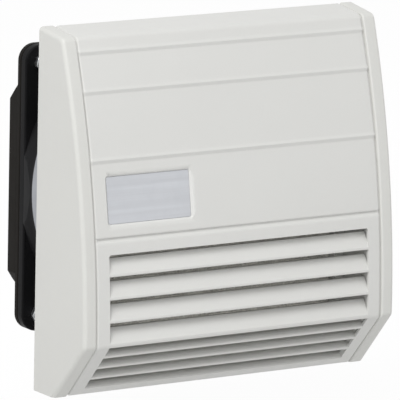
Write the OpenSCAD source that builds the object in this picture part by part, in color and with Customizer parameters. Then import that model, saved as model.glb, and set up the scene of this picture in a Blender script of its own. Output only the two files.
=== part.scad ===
// Cabinet filter fan: louvred swing-down cover, filter mat, frame for a square door
// cut-out and an axial fan with its motor. Millimetres.
// X runs right, Y runs into the cabinet, Z runs up; the door's outer face is y = 0.

/* [Front] */
// Width and height of the front
front_size = 148.5; // [147:0.5:151]
// Depth of the front at the knee, before the door
front_depth = 38; // [36:0.5:40]
// Height of the knee above the lower edge
knee_rise = 24.25; // [23.5:0.25:25]
// Depth of the lower lip, where the bevel ends
lip_depth = 15.3; // [14.5:0.1:16]
// Radius of the bulged front
front_radius = 370; // [350:10:400]
// Slope of the top face in degrees
top_slope = 7; // [5:0.5:9]
// Radius between the top face and the front
top_round = 3; // [2:0.25:3.5]
// Width of each side rail at the door
rail_width = 6.75; // [6.5:0.05:7.25]
// Radius along the outer edge of the rails
rail_round = 2.2; // [1.5:0.1:2.5]
// Draft of the rails' outer faces in degrees
side_draft = 1.55; // [0.5:0.05:2]

/* [Cover] */
// Gap between the cover and each rail
cover_gap = 0.5; // [0.4:0.05:0.7]
// How far the cover lies below the rails
cover_inset = 0.5; // [0.4:0.05:0.7]
// The same on the bevel and underneath
bevel_inset = 0.15; // [0.15:0.05:0.4]
// Wall thickness of the cover
cover_wall = 2.2; // [2:0.1:2.5]
// Height of one clapboard step
step_height = 0.4; // [0.3:0.05:0.45]
// Height of the raised lip above each step
lip_height = 0.25; // [0.15:0.05:0.3]
// Height of the first clapboard; it and the next heights follow the front's size
board_1 = 8.45; // [8:0.05:9]
// Height of the second clapboard
board_2 = 15.2; // [14.5:0.1:16]
// Height of the third clapboard
board_3 = 26.7; // [26:0.1:27.5]
// Height of the fourth clapboard, which carries the badge
board_4 = 30.4; // [30:0.1:30.8]
// Badge plate width
badge_w = 39; // [37:0.5:40]
// Badge plate height
badge_h = 19.7; // [18.5:0.1:20.5]

/* [Louvres] */
// Width of the cover's border beside the openings
louvre_side = 5.8; // [5.5:0.1:7]
// Height of the field above the first opening
louvre_rise = 6.6; // [6.3:0.1:7]
// From there down to the lower edge of the first slat
slat_drop = 8.8; // [8.6:0.1:9]
// Pitch of the front slats
slat_pitch = 9.3; // [9.2:0.05:9.35]
// How far a slat reaches in
slat_depth = 4.3; // [3.8:0.1:4.8]
// Height of a slat
slat_height = 6.9; // [6.5:0.1:7.2]
// Thickness of a slat, measured into the cabinet
slat_thick = 1.7; // [1.4:0.1:2]
// Pitch of the openings along the bevel
fin_pitch = 7.4; // [7.2:0.05:7.5]
// Width of a bar between two openings of the bevel
fin_width = 1.5; // [1.3:0.1:1.7]
// From the knee along the bevel to the first opening
fin_first = 0.85; // [0.7:0.05:1]

/* [Mounting] */
// How far the front stands over the collar on each side
collar_margin = 12.25; // [12.1:0.05:12.45]
// Wall of the collar
collar_wall = 1.8; // [1.6:0.1:1.9]
// Length of the collar behind the door's outer face
collar_depth = 14; // [12.5:0.5:16]
// How far a snap tab stands out of the collar
snap_height = 1.6; // [1.2:0.1:1.8]
// Thickness of the frame's plate
plate = 3; // [2.8:0.1:3.2]
// Gap between the collar and the foam gasket
gasket_gap = 1.5; // [1.3:0.1:2.5]
// How far the filter mat stays inside the collar on each side
filter_margin = 3; // [3:0.25:3.75]
// Thickness of the filter mat
filter_thick = 10; // [8:0.5:11]

/* [Fan] */
// Gap between the fan and the collar
fan_gap = 0.7; // [0.5:0.05:0.95]
// Depth of the fan
fan_depth = 38; // [37.8:0.1:38.4]
// Distance from the flanges' edges to the screw holes
hole_inset = 7.1; // [6.9:0.05:7.3]
// Thickness of the fan's flanges
flange = 4.2; // [3.8:0.1:4.6]
// Wall between the air duct and the flanges' edge
ring_inset = 3.3; // [2.9:0.05:3.5]
// Corner radius of the flanges
corner_r = 7; // [6:0.5:7.5]
// Number of blades
blades = 7; // [5:1:7]
// Gap between the blades and the duct
tip_gap = 0.7; // [0.6:0.05:1.2]
// Plate thickness of the rear guard
guard_plate = 2.6; // [2.4:0.1:2.8]
// Depth of the rear guard's rim
guard_rim = 6.4; // [6:0.1:6.8]
// Outer radius of the motor's rotor cup
cup_r = 32.2; // [32:0.1:32.4]

/* [Hidden] */
$fn = 96;
half = front_size / 2;
knee_z = -half + knee_rise;
arc_y = front_radius - front_depth;
rail_in = half - rail_width;
cover_half = rail_in - cover_gap;
// heights on the bulged front follow its height; 124.25 is that of the standard size
rise = (front_size - knee_rise) / 124.25;
step_1 = half - board_1 * rise;
step_2 = step_1 - board_2 * rise;
step_3 = step_2 - board_3 * rise;
field_top = step_3 - board_4 * rise;
louvre_half = cover_half - louvre_side;
louvre_top = field_top - louvre_rise * rise;
slat_first = louvre_top - slat_drop * rise;
slat_step = slat_pitch * rise;
slat_rise = slat_height * rise;
// collar, filter and fan follow the front
collar_size = front_size - 2 * collar_margin;
filter_size = collar_size - 2 * filter_margin;
fan_size = collar_size - 2 * collar_wall - 2 * fan_gap;
hole_pitch = fan_size - 2 * hole_inset;
ring_in = fan_size / 2 - ring_inset;
tip_r = ring_in - tip_gap;
bev_t = [front_depth - lip_depth, -knee_rise] / norm([front_depth - lip_depth, knee_rise]);
bev_n = [bev_t[1], -bev_t[0]];
// how far the last slat reaches down to the knee
knee_drop = 0.5;
far = 60;
// hinge of the cover
barrel_r = 2.35;
hinge_y = -(barrel_r + 0.45);
hinge_z = -half + cover_inset + barrel_r;
pin_r = 1.45;
pin_fit = 0.05;
// levels from the door inwards
pad = 2.4;
fan_front = pad;
fan_rear = fan_front + fan_depth;
guard_rear = fan_rear + guard_plate;
rim_rear = guard_rear + guard_rim;
plate_top = half - cover_inset - cover_wall - 0.75;
plate_bottom = hinge_z + barrel_r + 0.85;
gasket_in = collar_size + 2 * gasket_gap;
gasket_out = -2 * (plate_bottom + 0.2);
rim_in = filter_size / 2 + 0.3;
rim_wall = 1.6;
air_r = ring_in;
ring_out = fan_size / 2 - 0.2;
hole_r = 2.2;
guard_in = ring_in - 2.2;
earth = [hole_pitch / 2 - 12.4, hole_pitch / 2 - 0.4];
screw_r = 1.95;
washer = 0.8;
washer_r = 4.4;
rim_r = hole_pitch / sqrt(2) - washer_r - 0.2;
badge_x = -louvre_half + badge_w / 2 + 0.6;
badge_z = (step_3 + field_top) / 2 - 0.4;
badge_t = 0.35;
// motor
shaft_r = 1.97;
bearing_in = 2;
bearing_out = 6.5;
tube_r = 8.4;
step_r = 9.5;
stack_0 = 17;
stack_1 = 29;
cup_front = 8.6;
cup_rear = 31.5;
cage_out = cup_r - 1.95;
stator_r = cage_out - 4.65;
slot_r = stator_r - 3.6;
pole_w = 13 * cup_r / 32.2;
core_r = pole_w;
coil_in = core_r + 1;
coil_half = pole_w / 2 + 2.7;
coil_out = sqrt(pow(slot_r - 0.35, 2) - pow(coil_half, 2));
hub_r = cup_r + 2;

// a square with rounded corners, centred
module round_square(s, r) {
    square([s, s - 2 * r], center = true);
    square([s - 2 * r, s], center = true);
    for (x = [-1, 1]) {
        for (z = [-1, 1]) {
            translate([x * (s / 2 - r), z * (s / 2 - r)])
                circle(r);
        }
    }
}

// a flat shape in X and Z, thickened from y0 to y1
module slab(y0, y1) {
    translate([0, y1, 0])
        rotate([90, 0, 0])
            linear_extrude(y1 - y0)
                children();
}

// a tube about Y
module disc(r, y0, y1) {
    translate([0, y1, 0])
        rotate([90, 0, 0])
            cylinder(r = r, h = y1 - y0);
}

// a side profile in Y and Z, extruded from x0 to x1
module profile(x0, x1) {
    translate([x0, 0, 0])
        rotate([90, 0, 90])
            linear_extrude(x1 - x0)
                children();
}

module at_holes() {
    for (x = [-1, 1]) {
        for (z = [-1, 1]) {
            translate([x * hole_pitch / 2, 0, z * hole_pitch / 2])
                children();
        }
    }
}

// depth of the bulged front at height z
function arc_at(z, ins) = arc_y - sqrt(pow(front_radius - ins, 2) - pow(z - knee_z, 2));
// a point on the bevel, s along it from the knee
function bevel_at(s, ins) = [-front_depth, knee_z] + s * bev_t - ins * bev_n;
function bevel_y(z, ins) = bevel_at(0, ins)[0] + (z - bevel_at(0, ins)[1]) * bev_t[0] / bev_t[1];
function bevel_z(y, ins) = bevel_at(0, ins)[1] + (y - bevel_at(0, ins)[0]) * bev_t[1] / bev_t[0];

// centre of the round between the top face and the front
function round_start(ins, r) = [r * sin(top_slope), half - ins - r * cos(top_slope)] - [arc_y, knee_z];
function round_dir() = [-cos(top_slope), -sin(top_slope)];
function round_run(q, r) = -q * round_dir() + sqrt(pow(q * round_dir(), 2) - q * q + r * r);
function round_mid(ins, r) = round_start(ins, r) + [arc_y, knee_z]
    + round_run(round_start(ins, r), front_radius - ins - r) * round_dir();

// outline of the cover in Y and Z, set in by ins
module outline(ins, r) {
    low = ins - cover_inset + bevel_inset;
    c = round_mid(ins, r);
    t1 = c + r * [-sin(top_slope), cos(top_slope)];
    t2 = [arc_y, knee_z] + (c - [arc_y, knee_z]) * (front_radius - ins) / (front_radius - ins - r);
    intersection() {
        polygon([[2, half - ins + 2 * tan(top_slope)], t1, c, t2, [-far, t2[1]], [-far, bevel_z(-far, low)],
            [bevel_y(-half + low, low), -half + low], [2, -half + low]]);
        translate([arc_y, knee_z])
            circle(front_radius - ins, $fn = 720);
    }
    intersection() {
        translate(c)
            circle(r);
        polygon([c, t1, t1 + [-2 * r, 2 * r], t2 + [-2 * r, 2 * r], t2]);
    }
}

// a band of the outline between two heights
module band(z0, z1, ins) {
    intersection() {
        outline(ins, top_round);
        translate([-far, z0])
            square([far + 2, z1 - z0]);
    }
}

// outside of the cover with its clapboard steps and their lips
module stepped_outline() {
    lip = 1.4;
    c0 = cover_inset;
    band(step_1, half, c0);
    band(step_2, step_1 + 0.01, c0 + step_height);
    band(step_2, step_2 + lip, c0 + step_height - lip_height);
    band(step_3, step_2 + 0.01, c0 + 2 * step_height);
    band(step_3, step_3 + lip, c0 + 2 * step_height - lip_height);
    band(field_top, step_3 + 0.01, c0 + 3 * step_height);
    band(-half, field_top, c0);
}

// outline of a rail in Y and Z; its rounds cross the faces at 15 degrees
module rail_outline() {
    r = top_round * 1.15;
    c = round_mid(0, r * cos(15));
    up = [-sin(top_slope), cos(top_slope)];
    out = (c - [arc_y, knee_z]) / norm(c - [arc_y, knee_z]);
    difference() {
        intersection() {
            polygon([[2, half + 2 * tan(top_slope)], [-far, half - far * tan(top_slope)],
                [-far, bevel_z(-far, 0)], [bevel_y(-half, 0), -half], [2, -half]]);
            translate([arc_y, knee_z])
                circle(front_radius, $fn = 720);
        }
        difference() {
            polygon([c, c + 2 * r * up, c + 2.5 * r * (up + out), c + 2 * r * out]);
            translate(c)
                circle(r);
        }
    }
}

// what rounding takes off at an edge between the faces x = half and y = 0
module edge_cut() {
    r = rail_round * 1.15;
    c = r * cos(15);
    difference() {
        translate([half - c, -c])
            square(c + 1);
        translate([half - c, -c])
            circle(r, $fn = 48);
    }
}

// the same along the bulged front, the bevel and the top face
module arc_strip() {
    translate([0, arc_y, knee_z])
        rotate([0, 90, 0])
            rotate_extrude($fn = 720)
                translate([front_radius, 0])
                    rotate(90)
                        mirror([0, 1])
                            edge_cut();
}
module bevel_strip() {
    translate([0, -front_depth, knee_z])
        rotate([atan2(-bev_n[0], bev_n[1]), 0, 0])
            rotate([90, 0, 0])
                translate([0, 0, -15])
                    linear_extrude(60)
                        edge_cut();
}
module top_strip() {
    translate([0, 2, half + 2 * tan(top_slope)])
        rotate([top_slope, 0, 0])
            rotate([90, 0, 0])
                linear_extrude(60)
                    edge_cut();
}

// the right rail; its outer face leans in towards the front
module rail() {
    difference() {
        intersection() {
            translate([half, 0, 0])
                rotate([0, 0, -side_draft])
                    translate([-half, 0, 0])
                        difference() {
                            profile(rail_in - 3, half)
                                rail_outline();
                            arc_strip();
                            bevel_strip();
                            top_strip();
                        }
            translate([rail_in, -far, -half])
                cube([20, far, 2 * half]);
        }
        // bearing for the cover's hinge pin
        translate([rail_in - 1, hinge_y, hinge_z])
            rotate([0, 90, 0])
                cylinder(r = pin_r + pin_fit, h = 5.2);
    }
}

// one opening of the support grid per cell
module grid_cells() {
    intersection() {
        circle(air_r);
        for (x = [-1.5:1:1.5]) {
            for (z = [-4:1:4]) {
                translate([x * 28, z * 12.5])
                    square([26, 10.6], center = true);
            }
        }
    }
}

// a snap tab on the collar's right side, with the slots that let it bend
module snap_slots() {
    for (z = [-1, 1]) {
        translate([collar_size / 2 - 5, 2.8, z * 9 - 0.6])
            cube([10, collar_depth, 1.2]);
    }
}
module snap_barb() {
    translate([0, 0, -7])
        linear_extrude(14)
            polygon([[collar_size / 2 - 0.5, 2.8], [collar_size / 2 + snap_height, 2.8],
                [collar_size / 2 + snap_height, 3.8], [collar_size / 2, 10.5], [collar_size / 2 - 0.5, 10.5]]);
}

module mounting_frame() color([0.80, 0.81, 0.80]) {
    difference() {
        union() {
            rail();
            mirror([1, 0, 0])
                rail();
            // plate with the support grid
            difference() {
                translate([-rail_in - 1, -plate, plate_bottom])
                    cube([2 * rail_in + 2, plate, plate_top - plate_bottom]);
                slab(-plate - 1, 1)
                    grid_cells();
            }
            slab(-0.5, pad)
                difference() {
                    square(collar_size - 1, center = true);
                    grid_cells();
                }
            // collar
            slab(-0.5, collar_depth)
                difference() {
                    round_square(collar_size, 2);
                    square(collar_size - 2 * collar_wall, center = true);
                }
            for (a = [0:90:270]) {
                rotate([0, a, 0])
                    snap_barb();
            }
            // rim that holds the filter mat
            slab(-plate - filter_thick, -plate + 0.5)
                difference() {
                    round_square(2 * (rim_in + rim_wall), 2);
                    square(2 * rim_in, center = true);
                }
        }
        for (a = [0:90:270]) {
            rotate([0, a, 0])
                snap_slots();
        }
        // groove for the gasket
        slab(-1.6, 1)
            difference() {
                square(gasket_out, center = true);
                square(gasket_in, center = true);
            }
        // pilot holes for the fan's screws
        at_holes()
            disc(screw_r + 0.05, -plate + 0.6, pad + 1);
    }
}

module door_gasket() color([0.13, 0.13, 0.14]) {
    slab(-1.6, 0)
        difference() {
            square(gasket_out, center = true);
            square(gasket_in, center = true);
        }
}

module filter_mat() color([0.93, 0.94, 0.94]) {
    slab(-plate - filter_thick, -plate)
        round_square(filter_size, 2);
}

// section of a front slat whose lower edge is at height z; drop takes its edge further down
module slat(z, drop) {
    y = arc_at(z, cover_inset);
    polygon([[y, z - drop], [y, z + 1], [y + slat_depth, z + slat_rise],
        [y + slat_depth + slat_thick, z + slat_rise], [y + slat_thick + 0.4, z - drop]]);
}

// section of a bent bar on the bevel, starting s along it; deep sets its edge in
module fin(s, deep) {
    a = bevel_at(s, bevel_inset + deep);
    b = bevel_at(s + fin_width, bevel_inset + deep);
    polygon([a, a + [0.85, 1.4], a + [2.9, 2.3], a + [6, 2.6],
        b + [5, 2.6], b + [2.1, 2.15], b + [0.5, 0.8], b]);
}

// everything cut out of the cover's wall for the louvres
module louvre_window() {
    a = bevel_at(fin_first + 4 * fin_pitch - fin_width, -4);
    b = bevel_at(fin_first + 4 * fin_pitch - fin_width, 8);
    polygon([[-far, louvre_top], [-18, louvre_top], [-18, b[1]], b, a, [-far, a[1]]]);
}

module badge_place() {
    lean = asin((badge_z - knee_z) / front_radius);
    translate([badge_x, arc_at(badge_z, cover_inset + 3 * step_height), badge_z])
        rotate([-lean, 0, 0])
            children();
}

module badge_shape(w, h, r) {
    square([w, h - 2 * r], center = true);
    square([w - 2 * r, h], center = true);
    for (x = [-1, 1]) {
        for (z = [-1, 1]) {
            translate([x * (w / 2 - r), z * (h / 2 - r)])
                circle(r);
        }
    }
}

module louvre_cover() color([0.81, 0.82, 0.81]) {
    difference() {
        union() {
            // wall
            profile(-cover_half, cover_half)
                difference() {
                    stepped_outline();
                    outline(cover_inset + cover_wall, 1);
                    translate([-0.4, -half])
                        square([4, 2 * half]);
                    translate([hinge_y, -half])
                        square([10, 30]);
                }
            // ends
            for (x = [-cover_half, cover_half - cover_wall]) {
                profile(x, x + cover_wall)
                    difference() {
                        outline(cover_inset + 3 * step_height + 0.2, top_round);
                        translate([-plate - 0.5, -half])
                            square([10, 2 * half]);
                    }
            }
            // hinge barrel and pins
            translate([-cover_half, hinge_y, hinge_z])
                rotate([0, 90, 0])
                    cylinder(r = barrel_r, h = 2 * cover_half);
            translate([-rail_in - 3.8, hinge_y, hinge_z])
                rotate([0, 90, 0])
                    cylinder(r = pin_r, h = 2 * rail_in + 7.6);
            // lugs that close on the frame's plate
            for (x = [-38, 30]) {
                translate([x, -plate - 3, plate_top - 2.6])
                    cube([8, 2.6, 4]);
            }
        }
        profile(-louvre_half, louvre_half)
            louvre_window();
        badge_place()
            slab(-5, 0.8)
                badge_shape(badge_w + 0.4, badge_h + 0.4, 1.7);
    }
    profile(-louvre_half - 0.5, louvre_half + 0.5) {
        for (i = [0:3]) {
            slat(slat_first - i * slat_step, i == 3 ? knee_drop : 0);
        }
    }
    profile(-louvre_half - 0.5, louvre_half + 0.5) {
        for (k = [1:4]) {
            fin(fin_first + k * fin_pitch - fin_width, k == 4 ? 0.4 : 0);
        }
    }
}

module badge_plate() color([0.78, 0.79, 0.81]) {
    badge_place()
        slab(0.8 - badge_t, 0.8)
            badge_shape(badge_w, badge_h, 1.5);
}

module fan_flange() {
    difference() {
        round_square(fan_size, corner_r);
        circle(ring_in);
        for (x = [-1, 1]) {
            for (z = [-1, 1]) {
                translate([x * hole_pitch / 2, z * hole_pitch / 2])
                    circle(hole_r);
            }
        }
    }
}

module fan_frame() color([0.07, 0.07, 0.075]) {
    difference() {
        union() {
            slab(fan_front, fan_front + flange)
                fan_flange();
            slab(fan_rear - flange, fan_rear)
                fan_flange();
            slab(fan_front, fan_rear)
                difference() {
                    circle(ring_out);
                    circle(ring_in);
                }
            // motor seat on four struts
            slab(fan_rear - 3, fan_rear)
                circle(31);
            slab(fan_rear - 4, fan_rear)
                intersection() {
                    circle(ring_in + 1);
                    for (a = [20:90:290]) {
                        rotate(a)
                            translate([28, -3.5])
                                square([40, 7]);
                    }
                }
        }
        disc(tube_r + 0.05, fan_rear - 10, fan_rear + 1);
        translate([earth[0], 0, earth[1]])
            disc(1.7, fan_rear - flange - 1, fan_rear + 1);
    }
}

module side_label() color([0.75, 0.76, 0.78]) {
    rotate([-90, 0, 0])
        rotate([0, 0, 156])
            translate([0, 0, 11])
                rotate_extrude(angle = 48)
                    translate([ring_out, 0])
                        square([0.15, 17.8]);
}

// the guard's rim: round, cut off flush with the fan's sides
module rim_shape() {
    intersection() {
        square(fan_size, center = true);
        circle(rim_r);
    }
}

module rear_guard() color([0.09, 0.085, 0.08]) {
    slab(fan_rear, guard_rear)
        difference() {
            round_square(fan_size, corner_r);
            circle(guard_in);
            for (x = [-1, 1]) {
                for (z = [-1, 1]) {
                    translate([x * hole_pitch / 2, z * hole_pitch / 2])
                        circle(hole_r);
                }
            }
        }
    slab(guard_rear - 0.1, rim_rear)
        difference() {
            rim_shape();
            circle(guard_in);
        }
    // rings and spokes
    slab(rim_rear - 2.4, rim_rear) {
        for (i = [2:5]) {
            difference() {
                circle(guard_in * i / 6 + 1);
                circle(guard_in * i / 6 - 1);
            }
        }
        circle(11);
        difference() {
            for (a = [45:90:135]) {
                rotate(a)
                    square([2 * guard_in + 2, 3], center = true);
            }
            circle(10);
        }
    }
}

module fan_washers() color([0.72, 0.73, 0.75]) {
    at_holes()
        difference() {
            disc(washer_r, guard_rear, guard_rear + washer);
            disc(2.15, guard_rear - 1, guard_rear + washer + 1);
        }
}

module fan_screws() color([0.78, 0.79, 0.80]) {
    seat = guard_rear + washer;
    at_holes()
        difference() {
            union() {
                disc(screw_r, -plate + 0.8, seat + 0.5);
                disc(3.8, seat, seat + 1.9);
                translate([0, seat + 1.9, 0])
                    rotate([-90, 0, 0])
                        cylinder(r1 = 3.8, r2 = 2.9, h = 0.7);
            }
            for (a = [0, 90]) {
                rotate([0, a, 0])
                    translate([-2.1, seat + 1.2, -0.45])
                        cube([4.2, 3, 0.9]);
            }
        }
}

module bearing_tube() color([0.72, 0.60, 0.34]) {
    difference() {
        union() {
            disc(tube_r, 13, fan_rear - 1);
            disc(step_r, stack_1, fan_rear - 3);
            disc(12, fan_rear - 4.4, fan_rear - 3);
        }
        disc(bearing_out + 0.03, 12, 19);
        disc(5, 10, fan_rear);
        disc(bearing_out + 0.03, 30, fan_rear + 1);
    }
}

module bearing(y) {
    difference() {
        disc(bearing_out, y, y + 5);
        disc(bearing_in, y - 1, y + 6);
        // shields lie a little below the rings
        for (s = [y - 1, y + 4.6]) {
            difference() {
                disc(5.3, s, s + 1.4);
                disc(3.3, s - 1, s + 3);
            }
        }
    }
}

module front_bearing() color([0.70, 0.71, 0.73]) bearing(14);

module rear_bearing() color([0.70, 0.71, 0.73]) bearing(31);

module preload_washer() color([0.62, 0.63, 0.65]) {
    difference() {
        disc(6.2, 30, 31);
        disc(4.6, 29, 32);
    }
}

// half section of the four poles, looking along Y
module pole_necks(w) {
    square([2 * slot_r, w], center = true);
    square([w, 2 * slot_r], center = true);
}

module stator_core() color([0.45, 0.46, 0.48]) {
    slab(stack_0, stack_1)
        difference() {
            circle(stator_r);
            circle(tube_r + 0.05);
            difference() {
                circle(slot_r);
                circle(core_r);
                pole_necks(pole_w);
            }
            for (a = [45, 135]) {
                rotate(a)
                    difference() {
                        square([70, 3], center = true);
                        square([30, 4], center = true);
                    }
            }
        }
}

module stator_insulators() color([0.90, 0.89, 0.84]) {
    for (y = [stack_0 - 1.2, stack_1]) {
        slab(y, y + 1.2)
            difference() {
                intersection() {
                    circle(stator_r - 4);
                    union() {
                        circle(core_r);
                        pole_necks(pole_w);
                    }
                }
                circle(step_r + 0.1);
            }
    }
}

module windings() color([0.66, 0.34, 0.16]) {
    for (a = [0:90:270]) {
        rotate([0, a, 0])
            difference() {
                translate([coil_in, stack_0 - 3.6, -coil_half])
                    cube([coil_out - coil_in, stack_1 - stack_0 + 7.2, 2 * coil_half]);
                translate([coil_in - 1, stack_0 - 1.2, -pole_w / 2 - 0.1])
                    cube([coil_out - coil_in + 2, stack_1 - stack_0 + 2.4, pole_w + 0.2]);
            }
    }
}

module bearing_cap() color([0.10, 0.10, 0.11]) {
    disc(tube_r, fan_rear - 1, fan_rear);
    disc(bearing_out, fan_rear - 2, fan_rear - 0.5);
}

module terminal_block() color([0.86, 0.85, 0.80]) {
    difference() {
        translate([ring_out - 5.4, fan_rear - flange - 12, -40])
            cube([5.4, 12, 13.5]);
        for (z = [-37, -30.5]) {
            translate([ring_out - 3.1, fan_rear - flange - 13, z - 1.5])
                cube([0.8, 9, 3]);
        }
    }
}

module terminal_tabs() color([0.80, 0.76, 0.62]) {
    for (z = [-37, -30.5]) {
        translate([ring_out - 2.95, fan_rear - flange - 18, z - 1.4])
            cube([0.5, 14, 2.8]);
    }
}

module earth_screw() color([0.78, 0.72, 0.45]) {
    translate([earth[0], 0, earth[1]])
        difference() {
            union() {
                disc(1.65, fan_rear - flange - 1, fan_rear - 0.2);
                disc(3.4, fan_rear - flange - 2.4, fan_rear - flange);
            }
            translate([-4, fan_rear - flange - 3, -0.4])
                cube([8, 1.6, 0.8]);
        }
}

// one blade: sections on cylinders from root to tip, twisted and cambered
blade_rows = 6;
blade_cols = 8;
function blade_r(i) = hub_r - 0.8 + (tip_r - hub_r + 0.8) * i / (blade_rows - 1);
function blade_lean(i) = 47 + 13 * i / (blade_rows - 1);
function blade_chord(i) = 31 + 6 * i / (blade_rows - 1);
// position along the chord and height above it, both sides of the section
function blade_s(j) = j <= blade_cols ? j / blade_cols : 2 - j / blade_cols;
function blade_h(i, j) = let (s = blade_s(j), c = blade_chord(i), t = j <= blade_cols ? 0.75 : -0.75)
    0.30 * c * s * (1 - s) + t * (0.35 + 2.6 * s * (1 - s));
function blade_pt(i, j) = let (
    r = blade_r(i),
    u = (blade_s(j) - 0.5) * blade_chord(i),
    v = blade_h(i, j) - 0.05 * blade_chord(i),
    tang = u * sin(blade_lean(i)) + v * cos(blade_lean(i)),
    axial = u * cos(blade_lean(i)) - v * sin(blade_lean(i)),
    a = tang / r * 180 / PI + 6 * i / (blade_rows - 1))
    [r * cos(a), 20.6 + axial, r * sin(a)];
blade_ring = 2 * blade_cols;

module blade() {
    pts = [for (i = [0:blade_rows - 1]) for (j = [0:blade_ring - 1]) blade_pt(i, j)];
    sides = [for (i = [0:blade_rows - 2]) for (j = [0:blade_ring - 1])
        let (a = i * blade_ring + j, b = i * blade_ring + (j + 1) % blade_ring)
        each [[a, b, b + blade_ring], [a, b + blade_ring, a + blade_ring]]];
    last = (blade_rows - 1) * blade_ring;
    // ends are closed by strips between the two sides
    root = [for (j = [0:blade_cols - 1]) let (p = j, q = j + 1, r = (blade_ring - j) % blade_ring,
        s = blade_ring - j - 1)
        each (j == 0 ? [[p, s, q]] : j == blade_cols - 1 ? [[p, r, q]] : [[p, r, s], [p, s, q]])];
    tip = [for (f = root) [last + f[0], last + f[2], last + f[1]]];
    polyhedron(pts, concat(sides, root, tip), convexity = 4);
}

module impeller() color([0.06, 0.06, 0.065]) {
    difference() {
        union() {
            disc(hub_r, cup_front - 1.4, 33);
            for (k = [0:blades - 1]) {
                rotate([0, k * 360 / blades, 0])
                    blade();
            }
        }
        disc(cup_r + 0.05, cup_front, 40);
        disc(20, 0, 20);
    }
}

module rotor_cup() color([0.55, 0.56, 0.58]) {
    difference() {
        disc(cup_r, cup_front, cup_rear);
        disc(cage_out - 1.3, cup_front + 1.6, 15.1);
        disc(cage_out + 0.05, 15, cup_rear + 1);
    }
    difference() {
        disc(5, cup_front + 1.5, 13.2);
        disc(shaft_r + 0.03, cup_front + 1, 14);
    }
}

module rotor_cage() color([0.66, 0.67, 0.69]) {
    difference() {
        disc(cage_out, 15, 31);
        disc(stator_r + 0.5, 14, 32);
    }
}

module shaft() color([0.75, 0.76, 0.78]) {
    difference() {
        disc(shaft_r, cup_front + 1.6, fan_rear - 3.2);
        difference() {
            disc(4, 36.2, 36.8);
            disc(1.5, 36, 37);
        }
    }
}

module retaining_ring() color([0.35, 0.36, 0.38]) {
    difference() {
        disc(3.8, 36.2, 36.8);
        disc(1.5, 36, 37);
        translate([0, 35, -0.9])
            cube([6, 3, 1.8]);
    }
}

mounting_frame();
door_gasket();
filter_mat();
louvre_cover();
badge_plate();
fan_frame();
side_label();
rear_guard();
fan_washers();
fan_screws();
bearing_tube();
front_bearing();
rear_bearing();
preload_washer();
stator_core();
stator_insulators();
windings();
bearing_cap();
terminal_block();
terminal_tabs();
earth_screw();
impeller();
rotor_cup();
rotor_cage();
shaft();
retaining_ring();
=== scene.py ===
import math

import bmesh
import bpy
import numpy as np
from mathutils import Matrix, Vector


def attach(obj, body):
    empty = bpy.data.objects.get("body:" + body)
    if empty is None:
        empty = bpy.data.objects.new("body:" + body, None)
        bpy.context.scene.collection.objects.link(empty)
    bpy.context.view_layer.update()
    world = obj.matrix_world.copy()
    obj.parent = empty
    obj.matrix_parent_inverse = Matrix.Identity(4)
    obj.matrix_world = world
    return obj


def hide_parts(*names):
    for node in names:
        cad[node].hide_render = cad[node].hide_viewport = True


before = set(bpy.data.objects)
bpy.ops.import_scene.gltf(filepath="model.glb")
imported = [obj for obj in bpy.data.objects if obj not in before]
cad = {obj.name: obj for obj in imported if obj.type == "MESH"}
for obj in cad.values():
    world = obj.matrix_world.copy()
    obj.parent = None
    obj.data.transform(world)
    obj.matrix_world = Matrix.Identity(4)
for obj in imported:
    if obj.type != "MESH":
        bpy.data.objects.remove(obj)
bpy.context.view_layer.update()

# Sizes in millimetres, as in the part's source: the door's outer face is y = 0, the front faces -Y.
MM = 0.001
HALF = 74.25
DEPTH = 38.0
KNEE = -50.0
LIP = 15.3
BULGE = 370.0
SLOPE = math.radians(7)
TOP_ROUND = 3.0
RAIL_IN = 67.5
RAIL_ROUND = 1.7
RAIL_EDGE = 0.8
KNEE_ROUND = 3.5
DRAFT = math.tan(math.radians(1.55))
COVER_HALF = 67.0
INSET = 0.5
BEVEL_INSET = 0.15
LOW = INSET - BEVEL_INSET
WALL = 2.2
STEP = 0.4
STEPS = (65.8, 50.6, 23.9)
BEAD = 1.9
FIELD_TOP = -6.5
LOUVRE_HALF = 61.2
LOUVRE_TOP = -13.1
RIB_AT = LOUVRE_HALF + 0.8
RIB_BACK = 7.0
SLAT_HALF = LOUVRE_HALF + 0.4
SLAT_FIRST = -21.9
SLAT_PITCH = 9.3
BAR_PITCH = 7.4
BAR_WIDTH = 1.5
BAR_START = 0.85
WINDOW_END = BAR_START + 4 * BAR_PITCH - BAR_WIDTH
BADGE = (39.0, 19.7)
BADGE_X = -LOUVRE_HALF + BADGE[0] / 2 + 0.6
BADGE_Z = 8.3
HINGE = (-2.8, -71.4)
BARREL = 2.35
PIN = 1.45
PIN_REACH = 3.8
BORE = 1.5
FAN = 119.0
FAN_CORNER = 7.0
FAN_FRONT = 2.4
FAN_REAR = 40.4
FLANGE = 4.2
HOLES = 104.8
DUCT = 56.2
RING = 59.3
NECK_FRONT = 30.1
GUARD_REAR = 43.0
RIM_REAR = 49.4
RIM = 69.5
GUARD_IN = 54.0
GUARD_BAR = 2.4
WASHER = 0.8
TAB_Z = -37.0
TAB_PITCH = 6.5
HUB = 34.2
TIP = 55.5
BLADES = 7
BLADE_MID = 20.6
STATOR_MID = 23.0
MAT_HALF = 58.9
MAT_FRONT = -12.6
MAT_BACK = -3.15
MAT_SOFT = 2.4
STRIP_MID = 65.75
FLOOR_DROP = 38.0


# Small tools; edges sharper than the crease, in degrees, stay crisp

CREASE = 38


def add(name, data):
    """A new object in the scene."""
    o = bpy.data.objects.new(name, data)
    bpy.context.scene.collection.objects.link(o)
    return o


def evaluated(o):
    """What an object shows, modifiers and all, as a mesh of its own."""
    bpy.context.view_layer.update()
    mesh = bpy.data.meshes.new_from_object(o.evaluated_get(bpy.context.evaluated_depsgraph_get()))
    mesh.name = o.name
    return mesh


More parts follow.
